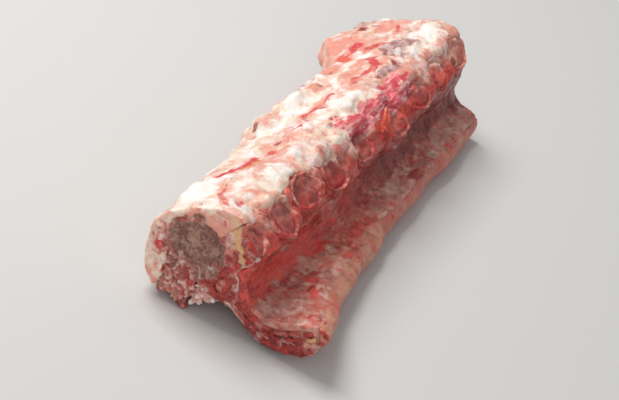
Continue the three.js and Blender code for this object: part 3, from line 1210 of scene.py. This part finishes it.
@dataclass
class EdgeFat(Tissue):
    """Tan strip of fat and gristle along the blade's edge."""

    node: str = "edge_fat"
    name: str = "blade_edge_fat"
    slot: str = "edge_fat"
    voxel: float = 0.45
    lumpy: float = 0.55
    finish: FleshFinish = FleshFinish(
        "blade_edge_fat", fat=(0.61, 0.285, 0.190), fat_shadow=(0.46, 0.160, 0.100),
        blush=(0.54, 0.13, 0.10), rime=(0.72, 0.53, 0.45), rime_cover=0.6, wet_roughness=0.36
    )
    join: float = 0.9

    def masks(self, places: Places) -> Masks:
        """Masks of smooth tan fat with a few pink stains.

        Args:
            places: The surface's points.

        Returns:
            The masks by name.
        """
        cut = places.cut()
        stains = places.patches(8, 66)
        fleshy = cut * smooth(-0.3, 0.3, places.patches(3.5, 88))
        return {
            "lean": 0.6 * smooth(0.55, 0.95, stains) + 0.75 * fleshy,
            "blood": 0.7 * cut * smooth(0, 0.5, places.patches(3, 29)),
            "frost": 0.02 + 0.42 * places.patches(6, 51),
            "blush": 0.42 + 0.6 * stains + 0.3 * smooth(60, 130, places.along),
            "gold": 0.8 * cut * smooth(0.3, 0.7, places.waves(6, 150)),
        }

    def relief(self, places: Places, masks: Masks) -> np.ndarray:
        """Returns the usual relief, with the strip pressed against the meat beside it."""
        joined = smooth(0.45, 0.85, places.normals[:, 1]) * smooth(0.5, 3, places.from_end())
        return super().relief(places, masks) * (1 - joined) + self.join * joined


@dataclass
class SpinalCord(Tissue):
    """The cord that fills the canal, flush with both saw cuts."""

    node: str = "spinal_cord"
    name: str = "cord_in_canal"
    slot: str = "cord"
    voxel: float = 0.8
    finish: FleshFinish = FleshFinish("cord_tissue", fat=(0.60, 0.34, 0.28), fat_shadow=(0.46, 0.20, 0.17))

    def masks(self, places: Places) -> Masks:
        """Masks of pale tissue stained with blood.

        Args:
            places: The surface's points.

        Returns:
            The masks by name.
        """
        stains = places.patches(3, 18)
        return {
            "lean": 0.75 + 0.4 * stains,
            "blood": 0.8 * smooth(-0.4, 0.3, stains),
            "frost": 0.15 + 0.1 * stains,
            "blush": 0.8 + 0.1 * stains,
        }


@dataclass(frozen=True)
class StubRow:
    """One row of sawn rib stubs, as its posts stand on the section."""

    dorsal: float
    side: float
    reach: float
    tilt: float
    sign: int
    start: float = -6.0
    spacing: float = 25.8
    swing: float = 4.0
    swing_turn: float = math.pi / 3
    top_depth: float = 3.5
    end_margin: float = 9.0
    least_along: float = 4.0
    least_wide: float = 3.0

    def stations(self) -> np.ndarray:
        """Returns the places of the posts along the bone."""
        index = np.arange(VERTEBRAE + 1)
        return self.start + index * self.spacing + self.swing * np.cos(index * self.swing_turn)

    def section(self, places: Places) -> tuple[np.ndarray, np.ndarray]:
        """Returns how far points lie from the row's roots, along its posts and across them."""
        off = places.dorsal - self.dorsal
        out = self.sign * places.side - self.side
        cosine, sine = math.cos(self.tilt), math.sin(self.tilt)
        return off * cosine + out * sine, out * cosine - off * sine

    def own_side(self, places: Places) -> np.ndarray:
        """Returns which points lie on the row's side of the bone."""
        return self.sign * places.side > 0

    def valley(self, places: Places) -> np.ndarray:
        """Returns the share of each point that lies low between the row's posts."""
        low = self.reach - self.section(places)[0]
        return smooth(2, 7, low) * smooth(14, 10, low) * self.own_side(places)

    def brow(self, places: Places) -> np.ndarray:
        """Returns the share of each point that lies on the top millimetres of the row's posts."""
        return smooth(3.2, 0.8, self.reach - self.section(places)[0]) * self.own_side(places)

    def direction(self) -> Vector:
        """Returns the way the posts point, in the part's frame."""
        lean = SECTION.root_lean
        back = Vector((0.0, -math.cos(lean), -math.sin(lean)))
        near = Vector((0.0, -math.sin(lean), math.cos(lean)))
        return (back * math.cos(self.tilt) + near * (self.sign * math.sin(self.tilt))).normalized()

    def point(self, height: float) -> Vector:
        """Returns the place at this height above the row's roots, in the part's frame."""
        lean = SECTION.root_lean
        side = self.sign * self.side
        across = self.dorsal * math.cos(lean) + side * math.sin(lean)
        down = self.dorsal * math.sin(lean) - side * math.cos(lean)
        return Vector((0.0, SECTION.column_y - across, SECTION.column_z - down)) + self.direction() * height

    def rim_share(self, places: Places) -> tuple[np.ndarray, np.ndarray]:
        """Where points lie on the nearest post's sawn face.

        Args:
            places: The surface's points.

        Returns:
            The share of each point that is on a sawn face, and its distance from the post's
            middle, 1 at the rim.
        """
        height, wide = self.section(places)
        stations = self.stations()
        index = np.argmin(np.abs(places.along[:, None] - stations), axis=1)
        facing = places.normals @ np.array(self.direction())
        face = np.zeros(len(height))
        radius = np.full(len(height), 2.0)
        for post in range(VERTEBRAE + 1):
            own = (index == post) & (height > self.reach - self.top_depth)
            top = own & (facing > 0.5)
            if not top.any():
                continue
            mid_along, mid_wide = (
                np.percentile(values[top], (2, 98)).sum() / 2 for values in (places.along, wide)
            )
            if not self.end_margin < stations[post] < LENGTH - self.end_margin:
                mid_along = stations[post]
            half_along = max(np.percentile(np.abs(places.along[top] - mid_along), 97), self.least_along)
            half_wide = max(np.percentile(np.abs(wide[top] - mid_wide), 97), self.least_wide)
            off_along = (places.along[own] - mid_along) / half_along
            radius[own] = np.hypot(off_along, (wide[own] - mid_wide) / half_wide)
            face[own] = smooth(0.15, 0.5, facing[own])
        return face, radius


NEAR_STUBS = StubRow(dorsal=8.0, side=4.0, reach=19.6, tilt=math.radians(83), sign=1)
FAR_STUBS = StubRow(dorsal=1.0, side=4.0, reach=20.6, tilt=math.radians(64), sign=-1)


@dataclass
class Backbone(Tissue):
    """Sawn bone: the column's spongy ends, the arch, the spines and the rows of rib stubs."""

    node: str = "backbone"
    name: str = "sawn_backbone"
    slot: str = "bone"
    voxel: float = 1.2
    finish: FleshFinish = FleshFinish(
        "sawn_bone", fat=(0.76, 0.45, 0.35), fat_shadow=(0.62, 0.27, 0.20), blush=(0.54, 0.125, 0.100),
        rime=(0.82, 0.62, 0.56), rime_cover=0.76, mauve_deep=(0.200, 0.060, 0.055),
        mauve_pale=(0.400, 0.190, 0.170)
    )
    stub_voxel: float = 0.5
    end_voxel: float = 0.60
    end_depth: float = 5.0
    stub_root: float = 9.5
    overlap: float = 0.5
    column_radius: float = 12.2
    loose_share: float = 1.0
    cut_white: Spots = (
        Spot(3, 15, 5.5, 2.4), Spot(19, 6.5, 1.3, 6.5, 0, 0.9), Spot(16.5, 18, 3.5, 1.1, -1.5, 0.9),
        Spot(14, 12, 3, 1.2, -1, 0.6),
    )
    cut_red: Spots = (
        Spot(9.5, 21.5, 5.5, 2.6), Spot(14, 9, 2.6, 2, 0, 0.8), Spot(10, -12, 4, 3, 0, 0.9),
        Spot(6, -19, 3, 4, 0, 0.8),
    )

    def copies(self, node: bpy.types.Object) -> list[bpy.types.Mesh]:
        """Fine meshes for the stubs and the ends, a coarser one for what is covered.

        Args:
            node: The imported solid's object.

        Returns:
            The meshes.
        """
        way = tuple(NEAR_STUBS.direction())
        stubs = CutPlane(tuple(NEAR_STUBS.point(self.stub_root)), way, Keep.FRONT)
        body = CutPlane(tuple(NEAR_STUBS.point(self.stub_root + self.overlap)), way, Keep.BACK)
        end = LENGTH / 2 - self.end_depth

        def across(x: float, keep: Keep) -> CutPlane:
            """Returns a plane across the bone."""
            return CutPlane((x, 0, 0), (1.0, 0.0, 0.0), keep)

        return [
            fine_copy(node, self.stub_voxel, (stubs,)),
            fine_copy(node, self.end_voxel, (body, across(-end, Keep.BACK))),
            fine_copy(node, self.end_voxel, (body, across(end, Keep.FRONT))),
            fine_copy(node, self.voxel, (
                body, across(-end - self.overlap, Keep.FRONT), across(end + self.overlap, Keep.BACK)
            )),
        ]

    def stubs(self, places: Places) -> tuple[np.ndarray, np.ndarray]:
        """Share of each point on a sawn stub, and its distance from that stub's middle.

        Args:
            places: The surface's points.

        Returns:
            The share and the distance, 1 at the rim.
        """
        near_face, near_radius = NEAR_STUBS.rim_share(places)
        far_face, far_radius = FAR_STUBS.rim_share(places)
        return greatest(near_face, far_face), np.where(near_face > far_face, near_radius, far_radius)

    def masks(self, places: Places) -> Masks:
        """Masks of pale rims, dark marrow and the greyish sponge of the sawn column.

        Args:
            places: The surface's points.

        Returns:
            The masks by name.
        """
        along, dorsal, side = places.along, places.dorsal, places.side
        ragged = places.patches(4)
        cut = places.cut()
        face, radius = self.stubs(places)
        upper = smooth(0, 3, side) * (1 - cut)
        crimson, orange, lapped = OVERLAY.shares(places, upper)
        stain = greatest(crimson, orange)
        core = face * smooth(1.05, 0.70, radius + 0.22 * ragged)
        pale_rim = smooth(-0.35, 0.35, places.waves(7, 11)) * (1 - core) * face * (1 - 0.8 * stain)
        pale_rim *= 0.2 + 0.6 * greatest(smooth(90, 30, along), smooth(183, 198, along))
        pale_rim *= smooth(-0.3, 0.5, places.waves(10, 260))
        core = core * (1 - 0.7 * stain) * (1 - 0.85 * lapped)
        lean = SECTION.root_lean
        chestward = places.normals @ np.array([0.0, math.cos(lean), math.sin(lean)])
        lit = smooth(0.25, 0.8, chestward) * smooth(-0.5, 0.3, places.patches(6, 320, 2))
        lit *= (1 - core) * (1 - cut)
        under = smooth(112, 121, places.wandering()[1] + 4 * ragged) * upper * smooth(20, 16, dorsal)
        low_side = smooth(7, 14, dorsal + 2 * ragged) * (1 - face)
        shade = smooth(70, 180, along) * (1 - stain) * (1 - face) * low_side
        patchy = smooth(-0.5, 0.5, places.patches(5, 350))
        crumbs = crumbled(places)
        gaps = crumbs * smooth(0.25, 0.75, crumb_gaps(places))
        flecks = gaps * smooth(0, 0.6, places.patches(4, 15, 2))
        column = places.from_column() + 1.4 * ragged
        sponge = cut * smooth(self.column_radius + 1.2, self.column_radius - 1.2, column)
        beyond = cut * smooth(self.column_radius - 0.5, self.column_radius + 1, column)
        on_cut = (dorsal, side, 1.6 * ragged)
        white = beyond * strongest(self.cut_white, *on_cut)
        red = beyond * greatest(strongest(self.cut_red, *on_cut), smooth(0.2, 0.7, places.patches(4, 44)))
        dusk = smooth(0, 0.7, places.patches(6, 19))
        lower = sponge * smooth(0, 9, dorsal + 3 * ragged)
        bloody = lower * smooth(0, 0.6, places.patches(3, 240))
        walls = lower * places.lines(4, 0.16, 210)
        flaked = sponge * smooth(2, -8, side + 4 * ragged)
        flakes = flaked * smooth(0.1, 0.5, places.patches(2.6, 370))
        front = -places.normals[:, 0]
        brim = smooth(3.2, 1.6, along) * smooth(0.05, 0.30, front) * smooth(0.99, 0.88, front)
        brim *= smooth(2, 6, side) * smooth(2, 5, dorsal) * smooth(-0.7, 0, places.waves(5, 280))
        frost = (0.22 + 0.42 * places.patches(5, 51)) * (1 - 0.65 * face)
        frost += 0.45 * lit + (0.25 + 0.6 * patchy) * lapped - 0.3 * under - 0.15 * sponge + 0.55 * crumbs
        frost += 0.35 * white + 0.5 * walls + 0.35 * brim + 0.55 * flakes
        return {
            "lean": 0.3 + 0.35 * ragged + 0.65 * low_side - 0.45 * pale_rim - 0.3 * crumbs - 0.9 * brim
                    - 0.35 * lit - 0.9 * lapped + 0.3 * under,
            "blood": greatest(
                greatest(0.5 * core * dusk, red * (1 - white) * (1 - 0.8 * crumbs)) * (1 - 0.9 * brim),
                0.8 * flecks,
                0.6 * bloody * (1 - walls),
                0.75 * under * (1 - 0.6 * patchy),
                0.7 * flaked * smooth(0.1, 0.6, ragged),
            ),
            "frost": frost * (1 - 0.75 * gaps) - 0.2 * red * (1 - crumbs),
            "blush": 0.74 + 0.4 * places.patches(6, 70, 2) - 0.3 * pale_rim - 0.5 * lapped,
            "gold": cut * strongest(OVERLAY.cut_gold, *on_cut),
            "crimson": crimson,
            "orange": orange,
            "marrow": core * (1 - 0.35 * dusk),
            "mauve": greatest(0.55 * core * dusk, 0.6 * gaps, 0.45 * shade),
            "grey": sponge * (1 - 0.55 * crumbs) * (1 - 0.6 * bloody) * (1 - 0.5 * flakes),
        }

    def relief(self, places: Places, masks: Masks) -> np.ndarray:
        """Adds worn rims, packed valleys, the sponge's pores and crumbs to the usual relief.

        Args:
            places: The surface's points.
            masks: The surface's masks.

        Returns:
            Millimetres along the normal.
        """
        face, radius = self.stubs(places)
        brow = greatest(NEAR_STUBS.brow(places), FAR_STUBS.brow(places)) * (1 - places.cut())
        older = smooth(30, 90, places.along)
        veil = greatest(masks["crimson"], masks["orange"])
        rim = greatest(face, brow) * smooth(0.70, 0.85, radius)
        worn = rim * (0.55 + 0.3 * older + 0.4 * veil + 0.9 * places.waves(5, 21))
        filled = (0.25 + 0.3 * older + 0.4 * veil) * face * smooth(0.85, 0.60, radius)
        filled += 0.6 * face * places.waves(4.5, 47)
        packing = greatest(NEAR_STUBS.valley(places), FAR_STUBS.valley(places))
        packing *= smooth(1, 9, places.from_end()) * (0.7 + 1.5 * smooth(-0.5, 0.7, places.waves(8, 31)))
        gaps = crumb_gaps(places)
        crumbs = (0.9 - 2 * gaps) * crumbled(places)
        flaked = smooth(4, -8, places.side) * (0.45 - 1.1 * gaps)
        pores = 0.7 * places.waves(4.5, 3) - 0.4 * smooth(0.45, 0.15, places.grains(1.9, 3))
        sponge = masks["grey"] * (flaked + pores)
        return super().relief(places, masks) + packing - worn + filled + crumbs + sponge + seam_fill(places)


# Loose ice

@dataclass(frozen=True)
class Scatter:
    """Many small loose pieces frozen to the surface, joined in one mesh."""

    name: str
    slot: str
    count: int
    size_low: float
    size_high: float
    seed: int
    finish: IceFinish
    least_height: float = 1.5
    ray_start: float = 0.9
    ray_length: float = 3.0
    wobble: float = 0.55
    sunk_share: float = 0.25
    lowest: float = 0.05

    def balls(self, count: int) -> bpy.types.Mesh:
        """Returns a mesh of this many balls of radius 1, all in the same place."""
        shape = bmesh.new()
        for _ in range(count):
            bmesh.ops.create_icosphere(shape, subdivisions=1, radius=1.0)
        return mesh_from(self.name, shape)

    def chosen(self, tissues: list[Tissue], solids: BVHTree, draw: np.random.Generator
               ) -> tuple[np.ndarray, np.ndarray]:
        """Picks frosted places that lie open to the air.

        Args:
            tissues: The built tissues.
            solids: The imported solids, to test what is covered.
            draw: The random draw.

        Returns:
            The places in millimetres and the outward directions there.
        """
        points = np.concatenate([places.points for tissue in tissues for places in tissue.built])
        outward = np.concatenate([places.normals for tissue in tissues for places in tissue.built])
        share = np.concatenate([rime for tissue in tissues for rime in tissue.rime])
        clumps = smooth(-0.1, 0.5, RIME.waves(points + 9, 5))
        weight = share * (0.15 + clumps) * (points[:, 2] > self.least_height)
        tries = min(self.count * 3, int(np.count_nonzero(weight)))
        order = draw.choice(len(points), size=tries, replace=False, p=weight / weight.sum())
        open_air = []
        for index in order:
            start = Vector(points[index] + outward[index] * self.ray_start) * MM
            if solids.ray_cast(start, Vector(outward[index]), self.ray_length * MM)[0] is None:
                open_air.append(index)
            if len(open_air) == self.count:
                break
        return points[open_air], outward[open_air]

    def build(self, tissues: list[Tissue], solids: BVHTree) -> None:
        """Makes the piece.

        Args:
            tissues: The built tissues.
            solids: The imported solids, to test what is covered.
        """
        draw = np.random.default_rng(self.seed)
        middles, outward = self.chosen(tissues, solids, draw)
        count = len(middles)
        mesh = self.balls(count)
        corners = triples(mesh.vertices, "co").reshape(count, -1, 3)
        lean = outward + draw.normal(scale=self.wobble, size=(count, 3))
        up = lean / np.linalg.norm(lean, axis=1)[:, None]
        other = np.cross(up, draw.normal(size=(count, 3)))
        other /= np.linalg.norm(other, axis=1)[:, None]
        third = np.cross(up, other)
        size = draw.uniform(self.size_low, self.size_high, count) * draw.uniform(0.6, 1.0, count)
        shape = draw.uniform(0.65, 1.25, (count, 1, 3)) * corners
        shape *= draw.uniform(0.65, 1.35, (*corners.shape[:2], 1)) * size[:, None, None]
        placed = (
            middles[:, None]
            + shape[:, :, 0:1] * other[:, None]
            + shape[:, :, 1:2] * third[:, None]
            + shape[:, :, 2:3] * up[:, None]
            - outward[:, None] * (self.sunk_share * size)[:, None, None]
        )
        placed[:, :, 2] = np.maximum(placed[:, :, 2], self.lowest)
        place_vertices(mesh, placed.reshape(-1, 3))
        piece = link(self.name, mesh)
        piece.data.materials.append(self.finish.material())
        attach(piece, "root")
        LOG.info("%s: %d grains, %d faces", self.name, count, len(mesh.polygons))


def solids_tree(nodes: dict[str, bpy.types.Object]) -> BVHTree:
    """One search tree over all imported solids.

    Args:
        nodes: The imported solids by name.

    Returns:
        The tree.
    """
    whole = bmesh.new()
    for node in nodes.values():
        whole.from_mesh(node.data)
    tree = BVHTree.FromBMesh(whole)
    whole.free()
    return tree


# Stage

@dataclass(frozen=True)
class Lamp:
    """A soft square lamp that looks at the bone: place and side in metres, watts and colour."""

    name: str
    place: tuple[float, float, float]
    size: float
    power: float
    color: Color
    aim_height: float = 0.02

    def hang(self) -> None:
        """Adds the lamp to the scene."""
        data = bpy.data.lights.new(self.name, "AREA")
        data.size = self.size
        data.energy = self.power
        data.color = self.color
        lamp = bpy.data.objects.new(self.name, data)
        lamp.location = self.place
        lamp.rotation_mode = "QUATERNION"
        look = Vector((0, 0, self.aim_height)) - Vector(self.place)
        lamp.rotation_quaternion = look.to_track_quat("-Z", "Y")
        bpy.context.scene.collection.objects.link(lamp)


@dataclass(frozen=True)
class Studio:
    """Camera, soft lights and table. The camera stands where the picture was taken from."""

    azimuth: float = math.radians(24.4)
    elevation: float = math.radians(28.7)
    roll: float = math.radians(18.0)
    distance: float = 800.0
    anchor_right: float = -24.33
    anchor_up: float = 44.0
    focal: float = 1200.0
    picture_width: float = 619.0
    zoom: float = 1.92
    aim_right: float = 23.5
    aim_up: float = 92.0
    sensor_width: float = 36.0
    table_half: float = 3.0
    room_light: float = 0.36
    room_color: Color = (1.0, 0.99, 0.98)
    lamps: tuple[Lamp, ...] = (
        Lamp("key", place=(0.10, 0.55, 0.85), size=0.55, power=9.2, color=(1.0, 0.985, 0.96)),
        Lamp("fill", place=(-0.95, -0.30, 0.45), size=0.9, power=3.0, color=(1.0, 0.98, 0.97)),
    )

    def turned(self, along: float, across: float, up: float) -> Vector:
        """Returns a direction of the tilted bone, as it leans in the picture, in the part's frame."""
        flat = across * math.cos(self.roll) - up * math.sin(self.roll)
        high = across * math.sin(self.roll) + up * math.cos(self.roll)
        return Vector((along, -flat, high))

    def camera(self) -> None:
        """Places the scene's camera."""
        sin_a, cos_a = math.sin(self.azimuth), math.cos(self.azimuth)
        sin_e, cos_e = math.sin(self.elevation), math.cos(self.elevation)
        right = self.turned(sin_a, cos_a, 0.0)
        up = self.turned(cos_a * sin_e, -sin_a * sin_e, cos_e)
        forward = self.turned(cos_a * cos_e, -sin_a * cos_e, -sin_e)
        front = Vector((-LENGTH / 2, SECTION.column_y, SECTION.column_z))
        place = front - forward * self.distance
        place -= right * self.anchor_right + up * self.anchor_up
        look = forward * self.focal + right * self.aim_right + up * self.aim_up
        look.normalize()
        level = (up - look * up.dot(look)).normalized()
        across = look.cross(level)
        turn = Matrix((across, level, -look)).transposed().to_4x4()
        data = bpy.data.cameras.new("picture_camera")
        data.sensor_width = self.sensor_width
        data.lens = self.sensor_width * self.focal * self.zoom / self.picture_width
        data.clip_start = 0.01
        data.clip_end = 20.0
        camera = bpy.data.objects.new("picture_camera", data)
        camera.matrix_world = Matrix.Translation(place * MM) @ turn
        bpy.context.scene.collection.objects.link(camera)
        bpy.context.scene.camera = camera

    def table(self) -> None:
        """Adds the pale table."""
        top = bmesh.new()
        bmesh.ops.create_grid(top, x_segments=1, y_segments=1, size=self.table_half)
        floor = link("table_top", mesh_from("table_top", top))
        floor.data.materials.append(FloorFinish().material())

    def build(self) -> None:
        """Sets the whole stage."""
        self.camera()
        self.table()
        for lamp in self.lamps:
            lamp.hang()
        world = bpy.data.worlds.new("soft_room")
        world.use_nodes = True
        background = world.node_tree.nodes["Background"]
        background.inputs["Color"].default_value = (*self.room_color, 1.0)
        background.inputs["Strength"].default_value = self.room_light
        bpy.context.scene.world = world
        bpy.context.scene.view_settings.view_transform = "Standard"


def main() -> None:
    """Builds the pieces in order and reports each."""
    logging.basicConfig(level=logging.INFO, format="%(message)s")
    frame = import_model()
    Studio().build()
    tissues = [Backbone(), SpinalCord(), FarMeat(), NearMeat(), ChestFat(), EdgeFat()]
    for tissue in tissues:
        tissue.build(frame["nodes"])
    tree = solids_tree(frame["nodes"])
    rime = Scatter(
        "rime_grains", "frosted_fat", count=800, size_low=0.15, size_high=0.40, seed=5, finish=IceFinish()
    )
    rime.build(tissues, tree)


if __name__ == "__main__":
    main()
